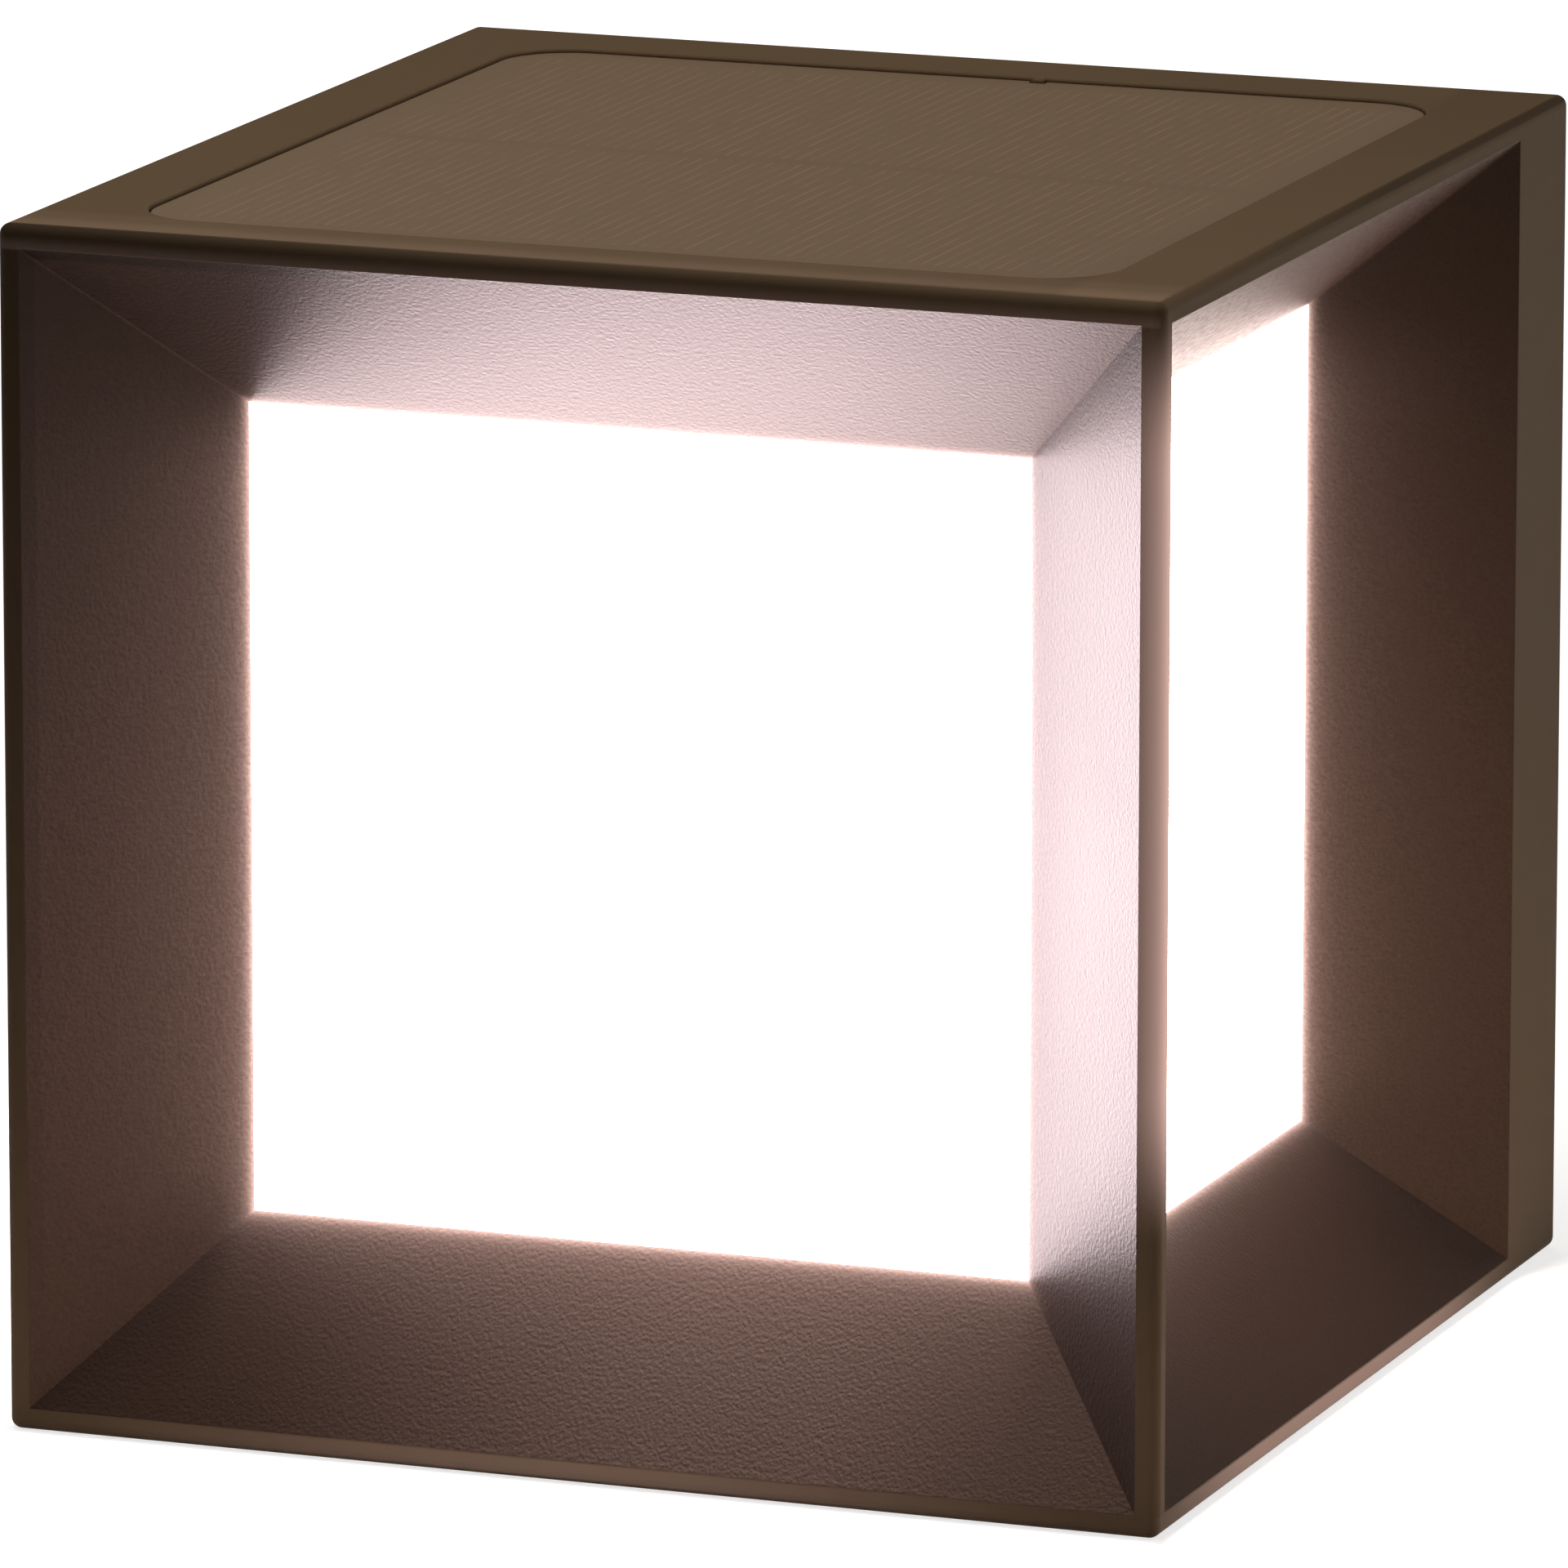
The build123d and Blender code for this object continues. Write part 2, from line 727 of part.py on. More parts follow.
def make_switch():
    """Latching push switch on the control board, with the bore of its plunger."""
    body = slab(Pos(0, button_level) * Rectangle(switch_size, switch_size), board_back, switch_back)
    bore_end = switch_back - plunger_depth - button_travel - plunger_gap
    return body - rod(0, button_level, plunger_radius + plunger_gap, bore_end, switch_back + overcut)


def make_plunger():
    return rod(0, button_level, plunger_radius, switch_back - plunger_depth, button_flange_front)


def make_button():
    """Push button held behind the cover by its flange."""
    cap = rod(0, button_level, button_radius, button_flange_back, back - button_setback)
    cap = fillet(cap.edges().group_by(Axis.Y)[-1], button_edge_radius)
    return cap + rod(0, button_level, button_radius + button_flange, button_flange_front, button_flange_back)


def make_button_seal():
    """Silicone ring in the mouth of the button's guide."""
    ring = Circle(button_hole_radius + seal_width) - Circle(button_radius + seal_gap)
    end = guide_front + seal_thickness + pilot_gap
    return slab(Pos(0, button_level) * ring, end - seal_thickness, end)


def keyhole_outline(x):
    """Round entry with a narrower slot rising out of it."""
    slot_middle = keyhole_level + keyhole_rise / 2
    outline = Pos(x, keyhole_level) * Circle(keyhole_entry_radius)
    outline += Pos(x, slot_middle) * Rectangle(keyhole_slot_width, keyhole_rise)
    return outline + Pos(x, keyhole_level + keyhole_rise) * Circle(keyhole_slot_width / 2)


def keyhole_pocket(x, grow):
    """Room for a screw head behind a keyhole."""
    half = keyhole_entry_radius + keyhole_pocket_margin + grow
    return Pos(x, keyhole_level + keyhole_rise / 2) * Rectangle(2 * half, keyhole_rise + 2 * half)


def cover_ribs():
    """Stiffening ribs just inside the walls of the chamber."""
    side_x = chamber_half - cover_rib_gap - cover_rib_thickness / 2
    side_length = chamber_top - chamber_bottom - 2 * cover_rib_inset
    middle = (chamber_top + chamber_bottom) / 2
    ribs = Sketch()
    for side in (-1, 1):
        ribs += Pos(side * side_x, middle) * Rectangle(cover_rib_thickness, side_length)
        level = middle + side * ((chamber_top - chamber_bottom - cover_rib_thickness) / 2 - cover_rib_gap)
        ribs += Pos(0, level) * Rectangle(2 * (chamber_half - cover_rib_inset), cover_rib_thickness)
    return ribs


def make_cover():
    """Flush back cover with keyholes, a dished button place and countersunk corners."""
    inset = wall + cover_gap
    outline = Pos(0, height / 2) * RectangleRounded(width - 2 * inset, height - 2 * inset, cover_radius)
    cover = slab(outline, cover_front, back)
    cover = chamfer(cover.faces().sort_by(Axis.Y)[-1].edges(), cover_edge_chamfer)
    cover += slab(cover_ribs(), cover_front - cover_rib_height, cover_front)
    guide = Pos(0, button_level) * Circle(button_hole_radius + guide_wall)
    cover += slab(guide, guide_front, cover_front)
    for side in (-1, 1):
        x = side * keyhole_spacing / 2
        pocket_end = cover_front - keyhole_pocket_depth
        cover += slab(keyhole_pocket(x, keyhole_pocket_wall), pocket_end - keyhole_pocket_wall, cover_front)
        cover -= slab(keyhole_pocket(x, 0), pocket_end, cover_front)
        cover -= slab(keyhole_outline(x), cover_front - overcut, back + overcut)
    cover -= rod(0, button_level, button_dish_radius, back - button_dish_depth, back + overcut)
    cover -= rod(0, button_level, button_hole_radius, guide_front - overcut, back)
    seat_end = guide_front + seal_thickness + 2 * pilot_gap
    seat_radius = button_hole_radius + seal_width + pilot_gap
    cover -= rod(0, button_level, seat_radius, guide_front - overcut, seat_end)
    for x, level in pair(pillar_x, pillar_levels):
        cover -= rod(x, level, cover_screw_radius + hole_gap, cover_front - overcut, back + overcut)
        cover -= rod(x, level, cover_head_radius + pilot_gap, back - cover_head_sink, back + overcut)
        cover -= Pos(x, back - cover_head_sink, level) * Rot(-90, 0, 0) * countersink(pilot_gap)
    return cover


def countersink(grow):
    """Conical head room, its wide end at the origin and pointing down."""
    wide = cover_head_radius + grow
    narrow = cover_screw_radius
    return Pos(0, 0, -(wide - narrow) / 2) * Cone(narrow, wide, wide - narrow)


def make_cover_screws():
    """Countersunk screws at the corners, with a crossed driver slot."""
    slot = 2 * cover_head_radius - 2 * driver_slot_width
    screw = countersink(0)
    screw += Cylinder(cover_screw_radius, cover_screw_length, align=(Align.CENTER, Align.CENTER, Align.MAX))
    screw -= Box(slot, driver_slot_width, 2 * driver_slot_depth)
    screw -= Box(driver_slot_width, slot, 2 * driver_slot_depth)
    return Compound([
        Pos(x, back - cover_head_sink, level) * Rot(-90, 0, 0) * screw
        for x, level in pair(pillar_x, pillar_levels)
    ])


def make_gasket():
    """Flat ring between the cover and the ledge."""
    outer_inset = wall + gasket_gap
    outer = Pos(0, height / 2) * RectangleRounded(
        width - 2 * outer_inset, height - 2 * outer_inset, cover_radius
    )
    inner = Pos(0, (chamber_bottom + chamber_top) / 2) * Rectangle(
        2 * (chamber_half + gasket_gap), chamber_top - chamber_bottom + 2 * gasket_gap
    )
    return slab(outer - inner, ledge_y, cover_front)


solar_red, solar_black = lead_places(solar_socket_x)
lamp_red, lamp_black = lead_places(lamp_socket_x)
battery_red, battery_black = lead_places(battery_socket_x)
red_level = tab_top - lead_pitch + battery_lead_rise
black_level = red_level + battery_lead_step
cells = make_solar_cells()

parts = {
    "housing": make_housing(),
    "diffuser_box": make_diffuser(),
    "reflector_tray": make_tray(),
    "tray_screws": make_tray_screws(),
    "led_board": make_lamp_board(),
    "leds": make_leds(),
    "led_screws": make_lamp_screws(),
    "led_lead_red": make_lamp_lead(lamp_red),
    "led_lead_black": make_lamp_lead(lamp_black),
    "solar_cells": cells,
    "solar_cover": make_solar_cover(cells),
    "solar_substrate": make_solar_substrate(),
    "solar_adhesive": make_solar_adhesive(),
    "solar_grommet": make_grommet(),
    "solar_lead_red": make_solar_lead(solar_red),
    "solar_lead_black": make_solar_lead(solar_black),
    "control_board": make_control_board(),
    "board_chips": make_chips(),
    "board_coil": make_coil(),
    "board_capacitors": make_capacitors(),
    "board_screws": make_board_screws(),
    "lead_sockets": make_sockets(),
    "lead_plugs": make_plugs(),
    "battery_cell": make_battery_cell(),
    "battery_terminals": make_battery_terminals(),
    "battery_clamp": make_clamp(),
    "clamp_screws": make_clamp_screws(),
    "battery_lead_red": make_battery_lead(1, plus_tab_x, battery_red, red_level),
    "battery_lead_black": make_battery_lead(-1, minus_tab_x, battery_black, black_level),
    "power_switch": make_switch(),
    "switch_plunger": make_plunger(),
    "power_button": make_button(),
    "button_seal": make_button_seal(),
    "back_cover": make_cover(),
    "cover_gasket": make_gasket(),
    "cover_screws": make_cover_screws(),
}

os.makedirs("parts", exist_ok=True)
for name, shape in parts.items():
    export_step(shape, f"parts/{name}.step")
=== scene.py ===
import bpy
import math
from types import SimpleNamespace
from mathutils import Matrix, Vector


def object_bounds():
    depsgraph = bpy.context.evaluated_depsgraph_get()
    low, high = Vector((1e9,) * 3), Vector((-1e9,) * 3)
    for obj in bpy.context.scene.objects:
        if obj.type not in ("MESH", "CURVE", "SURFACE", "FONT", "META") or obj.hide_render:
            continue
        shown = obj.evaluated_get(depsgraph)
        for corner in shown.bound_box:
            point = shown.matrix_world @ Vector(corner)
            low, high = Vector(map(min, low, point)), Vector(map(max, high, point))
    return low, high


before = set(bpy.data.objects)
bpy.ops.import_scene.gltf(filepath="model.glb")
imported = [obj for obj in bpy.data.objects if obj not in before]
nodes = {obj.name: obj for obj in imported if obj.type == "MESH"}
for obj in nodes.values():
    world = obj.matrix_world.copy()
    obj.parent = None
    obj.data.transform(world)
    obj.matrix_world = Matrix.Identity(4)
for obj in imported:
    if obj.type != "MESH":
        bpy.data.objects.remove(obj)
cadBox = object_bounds()
(_, front, _), (right, back, top) = cadBox
black = (0.0, 0.0, 0.0, 1.0)
white = (1.0, 1.0, 1.0, 1.0)
mixFactor, mixFirst, mixSecond, mixResult = 0, 6, 7, 2    # sockets of a Mix node for colours
print("frame loaded:", len(nodes), "nodes")


class Wire:
    # one socket of a node tree: arithmetic on it adds Math nodes
    def __init__(self, tree, socket=None):
        self.tree = tree
        self.socket = socket

    # any node: its settings first, then the values or links of its sockets
    def node(self, kind, settings=None, links=None, out=0):
        made = self.tree.nodes.new("ShaderNode" + kind)
        for key, value in (settings or {}).items():
            setattr(made, key, value)
        for key, value in (links or {}).items():
            if isinstance(value, Wire):
                self.tree.links.new(value.socket, made.inputs[key])
            else:
                made.inputs[key].default_value = value
        return Wire(self.tree, made.outputs[out] if made.outputs else None)

    def math(self, operation, a, b=0.0):
        return self.node("Math", {"operation": operation}, {0: a, 1: b})

    def __add__(self, other):
        return self.math("ADD", self, other)

    def __radd__(self, other):
        return self.math("ADD", other, self)

    def __sub__(self, other):
        return self.math("SUBTRACT", self, other)

    def __rsub__(self, other):
        return self.math("SUBTRACT", other, self)

    def __mul__(self, other):
        return self.math("MULTIPLY", self, other)

    def __rmul__(self, other):
        return self.math("MULTIPLY", other, self)

    def __truediv__(self, other):
        return self.math("DIVIDE", self, other)

    def __rtruediv__(self, other):
        return self.math("DIVIDE", other, self)

    def __abs__(self):
        return self.math("ABSOLUTE", self)

    def least(self, other):
        return self.math("MINIMUM", self, other)

    def most(self, other):
        return self.math("MAXIMUM", self, other)

    def exp(self):
        return self.math("EXPONENT", self)

    def fraction(self):
        return self.math("FRACT", self)

    # 0 below low, 1 above high, smooth between
    def rise(self, low, high):
        return self.node("MapRange", {"interpolation_type": "SMOOTHSTEP"},
                         {"Value": self, "From Min": low, "From Max": high})

    # 1 below low, 0 above high, smooth between
    def fall(self, low, high):
        return 1 - self.rise(low, high)

    # colour a where this is 0, colour b where it is 1
    def blend(self, a, b):
        return self.node("Mix", {"data_type": "RGBA"},
                         {mixFactor: self, mixFirst: a, mixSecond: b}, mixResult)

    # a colour made lighter or darker by this
    def shaded(self, colour):
        return self.node("Mix", {"data_type": "RGBA", "blend_type": "MULTIPLY"},
                         {mixFactor: 1.0, mixFirst: colour, mixSecond: self}, mixResult)


def newMaterial(name):
    material = bpy.data.materials.new(name)
    material.use_nodes = True
    material.node_tree.nodes.clear()
    start = Wire(material.node_tree)
    return material, start


def output(shader):
    shader.node("OutputMaterial", None, {"Surface": shader})


def objectPlace(start):
    place = start.node("TexCoord", out="Object")
    split = [start.node("SeparateXYZ", None, {0: place}, axis) for axis in range(3)]
    return place, split


def vectorMath(operation, place, other):
    return place.node("VectorMath", {"operation": operation}, {0: place, 1: other})


def noise(place, scale, detail, roughness=0.5):
    return place.node("TexNoise", None, {
        "Vector": place, "Scale": scale, "Detail": detail, "Roughness": roughness})


def bumpFrom(height):
    return height.node("Bump", None, {"Strength": 1.0, "Distance": 1.0, "Height": height})


def dress(material, *names):
    for name in names:
        slots = nodes[name].data.materials
        slots.clear()
        slots.append(material)


def rgb(*display):
    # display values 0 to 255 as a linear colour, by the sRGB curve
    levels = [value / 255 for value in display]
    linear = [level / 12.92 if level <= 0.04045 else ((level + 0.055) / 1.055) ** 2.4 for level in levels]
    return (*linear, 1.0)


# moulded housing and back cover: metres, and a pair says where a fade starts and ends
housing = {
    # the frame's own sizes and the edges of its faces
    "rim": 0.0028, "reveal": 0.0214, "sideTop": 0.0218,
    "outerFace": (0.00001, 0.00008), "roundedEdge": (0.0022, 0.0026), "rimFade": 0.0002,
    "eavesFade": (0.0001, 0.0004), "topFace": (0.0001, 0.00003), "mitre": (0.0, 0.0005),
    # plastic: outside and reveals are one plastic; the reveals' darker tint is painted shade and the edge
    # tint a painted highlight
    "outerTint": rgb(86, 71, 54), "paintedHighlightTint": rgb(108, 90, 74), "revealShadeTint": rgb(35, 25, 20),
    "outerRoughness": 0.7, "innerRoughness": 0.35, "eavesRoughness": 0.52, "roughnessDrift": 0.05,
    "outerGloss": 0.18, "innerGloss": 0.25, "sheen": (1.0, 0.6, 0.35, 1.0),
    "grainSize": 0.00052, "grainRoughness": 0.55, "grainHeight": 0.00005,
    "grainStep": (0.0, 0.00016, 0.00016), "grainShade": 1.4, "grainGlow": 0.9,
    "skinSize": 0.00022, "skinHeight": 0.000008,
    "cloudScale": 45.0, "cloudDarkest": 0.92, "cloudSpread": 0.16,
    "speckSize": (0.0006, 0.0018, 0.0006), "speckEdge": (0.4, 0.6), "speckShare": 0.6,
    # painted highlight and painted shade by place
    "paintedFrontHighlight": {"wide": (0.009, 0.0125), "wideShare": 0.3, "near": (0.0025, 0.008), "nearShare": 0.6},
    "rightFrame": {"across": (0.06, 0.063), "lift": 0.02, "fallOff": 2.0},
    "frontRim": {"depth": (0.0013, 0.0017), "dark": 0.16, "darkerLeft": 0.6},
    "rightEdge": {"aside": (0.0013, 0.0009), "below": (0.001, 0.0006), "along": (-0.075, 0.02), "dark": 0.55},
    "upper": {"height": (0.03, 0.145), "rightHalf": (0.0, 0.01), "dark": 0.62, "dull": 0.7},
    # light of the windows on the housing, painted as emission
    "glowTint": (1.0, 0.64, 0.56, 1.0),
    "windowEdge": {"reach": (0.0003, 0.0011, 0.006), "narrow": 0.26, "wide": 0.08,
                   "underTop": (0.115, 0.13), "topWeaker": 0.75,
                   "cornerHeight": (0.02, 0.034), "cornerAside": (0.05, 0.056), "cornerWeaker": 0.5},
    "sill": {"height": (0.026, 0.028), "left": (-0.05, 0.015), "right": (0.025, 0.056),
             "level": 0.028, "grainGlow": 3.4},
    "post": {"reach": 0.0028, "growth": 240.0, "depth": (0.0026, 0.003), "across": (0.06, 0.061),
             "along": (-0.071, -0.07), "low": (0.036, 0.056), "high": (0.13, 0.15), "level": 0.38},
    "bar": {"depth": (0.0001, 0.0004), "upper": (0.0012, 0.0028), "lower": (0.0029, 0.0032), "level": 0.02},
    "lowRim": {"lower": (0.0002, 0.0008), "upper": (-0.0003, 0.0001), "depth": (0.0002, 0.0006),
               "front": (-0.085, -0.04), "rear": (0.02, 0.06), "sideLevel": 0.17,
               "left": (-0.075, 0.0), "right": (0.0, 0.07), "frontLevel": 0.05},
}


def housingPlaces(start):
    place, (x, y, z) = objectPlace(start)
    fromSide = right - abs(x)
    fromFront = y - front
    fromEnd = fromFront.least(back - y)
    fromLevel = (top - z).least(z)
    # a reveal is deeper than the rounded edges, whose second distance to an outer face stays small
    first = fromSide.least(fromEnd).least(fromLevel)
    second = fromSide.least(fromEnd).most(fromSide.most(fromEnd).least(fromLevel))
    inner = first.rise(*housing["outerFace"]).least(second.rise(*housing["roundedEdge"]))
    underRim = top - housing["rim"]
    inner = inner * z.fall(underRim, underRim + housing["rimFade"])
    # undersides of the side reveals
    slope = (housing["sideTop"] - housing["rim"]) / housing["reveal"]
    eaves = (underRim - z - fromSide * slope).fall(*housing["eavesFade"])
    eaves = eaves * inner * (fromEnd - fromSide).rise(*housing["mitre"])
    faceUp = z.rise(*[top - below for below in housing["topFace"]])
    return SimpleNamespace(
        place=place, x=x, y=y, z=z, fromSide=fromSide, fromFront=fromFront, fromEnd=fromEnd,
        fromLevel=fromLevel, first=first, inner=inner, eaves=eaves, faceUp=faceUp)


def paintedFrontHighlight(at):
    # painted highlight: the top is lighter along its front edge
    strip = housing["paintedFrontHighlight"]
    wide = at.fromFront.fall(*strip["wide"]) * strip["wideShare"]
    near = at.fromFront.fall(*strip["near"]) * strip["nearShare"]
    return at.faceUp * (wide + near)


def shadedUpperReveals(at):
    # mask of painted shade on the upright faces of the reveals, more and more upwards, but not the right-hand
    # one in the front reveal; it also dulls their shine
    upper = housing["upper"]
    upright = at.inner * (1 - at.eaves) * (at.fromLevel - at.fromSide).rise(*housing["mitre"])
    inFront = (at.fromSide - at.fromEnd).rise(*housing["mitre"])
    return upright * at.z.rise(*upper["height"]) * (1 - at.x.rise(*upper["rightHalf"]) * inFront)


def paintedHousingShade(at, upper):
    # painted light and shade: the top's right-hand frame is lighter at the front and darker towards the back
    side = housing["rightFrame"]
    shade = 1 + at.faceUp * at.x.rise(*side["across"]) * (side["lift"] - at.y * side["fallOff"])
    # painted shade: the front rim darkens upwards and to the left
    rim = housing["frontRim"]
    leftward = (right - at.x) / (2 * right)
    onRim = at.fromFront.fall(*rim["depth"]) * (at.z / top)
    shade = shade * (1 - onRim * (rim["dark"] + leftward * rim["darkerLeft"]))
    # painted shade: the top's right-hand edge darkens towards the back
    edge = housing["rightEdge"]
    onEdge = at.x.rise(*[right - aside for aside in edge["aside"]])
    onEdge = onEdge * at.z.rise(*[top - below for below in edge["below"]])
    shade = shade * (1 - onEdge * at.y.rise(*edge["along"]) * edge["dark"])
    # painted shade on the upper reveals
    return shade * (1 - upper * housing["upper"]["dark"])


def edgeGlow(at):
    # painted light beside the windows: a bright edge, a narrow and a wide fall-off, weaker under the top and
    # in low corners
    light = housing["windowEdge"]
    away = at.first - housing["reveal"]
    edge, narrow, wide = [(away / reach).exp() for reach in light["reach"]]
    underTop = at.z.rise(*light["underTop"])
    corner = at.z.fall(*light["cornerHeight"]) * abs(at.x).rise(*light["cornerAside"])
    spread = narrow * light["narrow"] + wide * light["wide"]
    spread = spread * (1 - underTop * light["topWeaker"]) * (1 - corner * light["cornerWeaker"])
    return at.inner * (edge + spread)


def sillGlow(at):
    # painted sheen on the front sill, broad and right of its middle
    sill = housing["sill"]
    onSill = at.inner * (at.fromSide - at.z).rise(*housing["mitre"])
    onSill = onSill * (at.fromSide - at.fromEnd).rise(*housing["mitre"]) * at.z.fall(*sill["height"])
    return onSill * at.x.rise(*sill["left"]) * at.x.fall(*sill["right"]) * sill["level"]


def postGlow(at):
    # painted light along the side of the right-hand corner post, where the side window shines past it
    post = housing["post"]
    glow = (at.fromSide / -post["reach"]).exp() * (1 + at.fromFront * post["growth"])
    glow = (1 - at.inner) * glow * at.fromEnd.fall(*post["depth"])
    glow = glow * at.x.rise(*post["across"]) * at.y.fall(*post["along"])
    return glow * at.z.rise(*post["low"]) * at.z.fall(*post["high"]) * post["level"]


def barGlow(at):
    # painted light along the lower edge of the front rim's top bar
    bar = housing["bar"]
    down = top - at.z
    onBar = down.rise(*bar["upper"]) * down.fall(*bar["lower"])
    return at.fromFront.fall(*bar["depth"]) * onBar * bar["level"]


def lowRimGlow(at):
    # painted light on the lower rims, standing in for the light that the surface below throws back
    low = housing["lowRim"]
    onRim = (1 - at.inner) * at.z.rise(*low["lower"])
    onRim = onRim * at.z.fall(*[housing["rim"] + past for past in low["upper"]])
    onSide = at.fromSide.fall(*low["depth"]) * at.y.rise(*low["front"]) * at.y.fall(*low["rear"])
    onFront = at.fromFront.fall(*low["depth"]) * at.x.rise(*low["left"]) * at.x.fall(*low["right"])
    return onRim * (onSide * low["sideLevel"] + onFront * low["frontLevel"])


def mouldedPlastic():
    material, start = newMaterial("mouldedPlastic")
    at = housingPlaces(start)
    # leather grain, and its relief: how far it falls backwards and upwards, towards the front window; the
    # relief feeds a painted shading of the grain in the tint and the glow
    shifted = vectorMath("ADD", at.place, housing["grainStep"])
    grain, further = [noise(spot, 1 / housing["grainSize"], detail=2.0, roughness=housing["grainRoughness"])
                      for spot in (at.place, shifted)]
    relief = grain - further
    skin = noise(at.place, 1 / housing["skinSize"], detail=1.0)
    cloud = noise(at.place, housing["cloudScale"], detail=3.0)
    speck = noise(vectorMath("DIVIDE", at.place, housing["speckSize"]), 1.0, detail=2.0)
    bump = bumpFrom(at.inner * grain * housing["grainHeight"] + skin * housing["skinHeight"])
    # tint, with painted shade and painted highlight by place and a painted shading of the grain's relief
    upper = shadedUpperReveals(at)
    shade = housing["cloudDarkest"] + cloud * housing["cloudSpread"]
    shade = shade + at.inner * relief * housing["grainShade"]
    tint = at.inner.blend(housing["outerTint"], housing["revealShadeTint"])
    tint = paintedFrontHighlight(at).blend(tint, housing["paintedHighlightTint"])
    tint = (paintedHousingShade(at, upper) * shade).shaded(tint)
    # painted light of the windows and of the surface below, as emission
    glow = edgeGlow(at) * (1 + relief * housing["grainGlow"])
    glow = glow + sillGlow(at) * (1 + relief * housing["sill"]["grainGlow"])
    glow = glow + postGlow(at) + barGlow(at) + lowRimGlow(at)
    # dull outside and glossier reveals
    shared = {
        "Base Color": tint, "Specular Tint": housing["sheen"], "Normal": bump,
        "Emission Color": glow.blend(black, housing["glowTint"]), "Emission Strength": 1.0}
    drift = cloud * housing["roughnessDrift"]
    dullerEaves = at.eaves * (housing["eavesRoughness"] - housing["innerRoughness"])
    outer = start.node("BsdfPrincipled", None, {
        **shared, "Roughness": housing["outerRoughness"] + drift,
        "Specular IOR Level": housing["outerGloss"]})
    reveal = start.node("BsdfPrincipled", None, {
        **shared, "Roughness": housing["innerRoughness"] + dullerEaves + drift,
        "Specular IOR Level": housing["innerGloss"]})
    shine = at.inner * (1 - upper * housing["upper"]["dull"])
    shine = shine * (1 - at.eaves * speck.rise(*housing["speckEdge"]) * housing["speckShare"])
    output(start.node("MixShader", None, {0: shine, 1: outer, 2: reveal}))
    return material


# lit opal light box
opal = {
    "tint": (0.95, 0.94, 0.92, 1.0), "roughness": 0.35, "roughnessDrift": 0.1,
    "frontGlow": (1.0, 0.88, 0.97, 1.0), "sideGlow": (1.0, 0.82, 0.78, 1.0), "strength": 20.5,
    "brightest": -0.009, "fadeAcross": 0.34, "fadeUpward": 0.1, "cloudScale": 30.0, "cloudFade": 0.05,
    "windowHalf": 0.0508, "windowHeight": 0.1026, "sideFade": (0.002, 0.0025),
}


def opalPlastic():
    material, start = newMaterial("opalPlastic")
    place, (x, _, z) = objectPlace(start)
    cloud = noise(place, opal["cloudScale"], detail=2.0)
    # dimmer away from the brightest spot, with the square of the distance
    onSide = abs(x).rise(*[opal["windowHalf"] + past for past in opal["sideFade"]])
    across = (x - opal["brightest"]) / opal["windowHalf"] * (1 - onSide)
    upward = (z - top / 2) / (opal["windowHeight"] / 2)
    fade = across * across * opal["fadeAcross"] + upward * upward * opal["fadeUpward"]
    glow = onSide.blend(opal["frontGlow"], opal["sideGlow"])
    glow = (fade + cloud * opal["cloudFade"]).blend(glow, black)
    output(start.node("BsdfPrincipled", None, {
        "Base Color": opal["tint"], "Roughness": opal["roughness"] + cloud * opal["roughnessDrift"],
        "Emission Color": glow, "Emission Strength": opal["strength"]}))
    return material


# frosted sheet of the solar panel, with the cells showing faintly through it
panel = {
    "tint": rgb(109, 91, 72), "fingerTint": rgb(132, 114, 93), "rowTint": rgb(101, 84, 66),
    "middle": -0.001, "halfWidth": 0.0623, "halfDepth": 0.0666, "border": 0.005, "borderFade": 0.0003,
    "rowGap": 0.003, "rowGapFade": 0.0004, "rowGapShare": 0.3,
    "pitch": 0.001875, "fingerWidth": 0.0003, "fingerCore": 0.3,
    "streakScale": (900.0, 130.0, 1.0), "streakEdge": (0.3, 0.68), "streakShare": 0.6,
    "frostScale": 2500.0, "frostHeight": 0.000008, "roughness": 0.5, "roughnessDrift": 0.1, "gloss": 0.3,
}


def solarSheet():
    material, start = newMaterial("solarSheet")
    place, (x, y, _) = objectPlace(start)
    along = y - panel["middle"]
    insideAcross = panel["halfWidth"] - panel["border"] - abs(x)
    insideAlong = panel["halfDepth"] - panel["border"] - abs(along)
    cell = insideAcross.least(insideAlong).rise(-panel["borderFade"], panel["borderFade"])
    halfGap = panel["rowGap"] / 2
    gap = abs(along).fall(halfGap - panel["rowGapFade"], halfGap + panel["rowGapFade"])
    # contact fingers, each in the middle of its pitch, faint and broken
    fromFinger = abs((x / panel["pitch"]).fraction() - 0.5) * panel["pitch"]
    streak = noise(vectorMath("MULTIPLY", place, panel["streakScale"]), 1.0, detail=3.0)
    finger = fromFinger.fall(panel["fingerWidth"] * panel["fingerCore"], panel["fingerWidth"])
    finger = finger * cell * (1 - gap) * streak.rise(*panel["streakEdge"])
    tint = finger.blend(panel["tint"], panel["fingerTint"])
    tint = (gap * cell * panel["rowGapShare"]).blend(tint, panel["rowTint"])
    tint = (streak * panel["streakShare"]).blend(tint, panel["rowTint"])
    frost = noise(place, panel["frostScale"], detail=2.0)
    output(start.node("BsdfPrincipled", None, {
        "Base Color": tint, "Roughness": panel["roughness"] + frost * panel["roughnessDrift"],
        "Specular IOR Level": panel["gloss"], "Normal": bumpFrom(frost * panel["frostHeight"])}))
    return material


